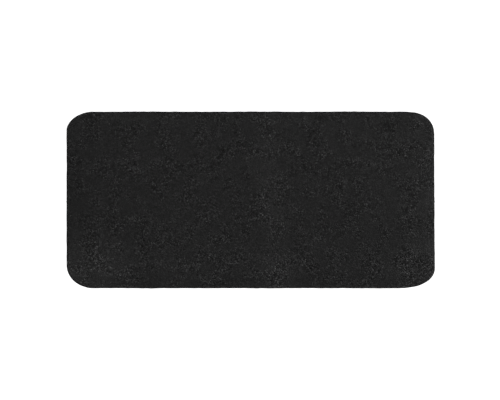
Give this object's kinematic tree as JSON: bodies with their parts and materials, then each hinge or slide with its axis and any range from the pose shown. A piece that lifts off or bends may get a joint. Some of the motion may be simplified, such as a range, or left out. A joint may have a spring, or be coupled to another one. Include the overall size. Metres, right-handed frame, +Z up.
{
  "type": "wall punch pad",
  "caption": "Rectangular upholstered striking pad with rounded corners and a plain matte black face, on a plywood back that hooks onto wall rails.",
  "frame": {"origin": "centre of the four wall screw holes, on the wall plane", "axes": "+X to the right, +Y into the wall, +Z up; the struck face looks along -Y"},
  "size_m": [0.3804, 0.075, 0.183],
  "materials": {
    "cover_vinyl": "matte",
    "seam_thread": "matte",
    "plywood": "satin",
    "firm_foam": "matte",
    "rebond_foam": "matte",
    "soft_foam": "matte",
    "rail_aluminium": "satin",
    "zinc_steel": "satin",
    "buffer_rubber": "matte",
    "black_eyelet": "satin"
  },
  "bodies": {
    "wall_rails": {"wall_rail_upper": "rail_aluminium", "wall_rail_lower": "rail_aluminium"},
    "pad": {"cover_face_panel": "cover_vinyl", "side_band_upper": "cover_vinyl", "side_band_lower": "cover_vinyl", "perimeter_seam_thread": "seam_thread", "join_seam_thread_left": "seam_thread", "join_seam_thread_right": "seam_thread", "back_board": "plywood", "foam_base_firm": "firm_foam", "foam_core_rebond": "rebond_foam", "foam_face_soft": "soft_foam", "pad_rail_upper": "rail_aluminium", "pad_rail_lower": "rail_aluminium", "rail_screws": "zinc_steel", "rail_tee_nuts": "zinc_steel", "buffer_upper_left": "buffer_rubber", "buffer_upper_right": "buffer_rubber", "buffer_lower_left": "buffer_rubber", "buffer_lower_right": "buffer_rubber", "buffer_washers": "zinc_steel", "buffer_screws": "zinc_steel", "cover_staples": "zinc_steel", "vent_eyelets": "black_eyelet", "vent_washers": "black_eyelet"}
  },
  "joints": [
    {"name": "lift_off", "type": "slide", "parent": "wall_rails", "child": "pad", "axis": [0, 0, 1], "range_m": [0, 0.012]}
  ]
}
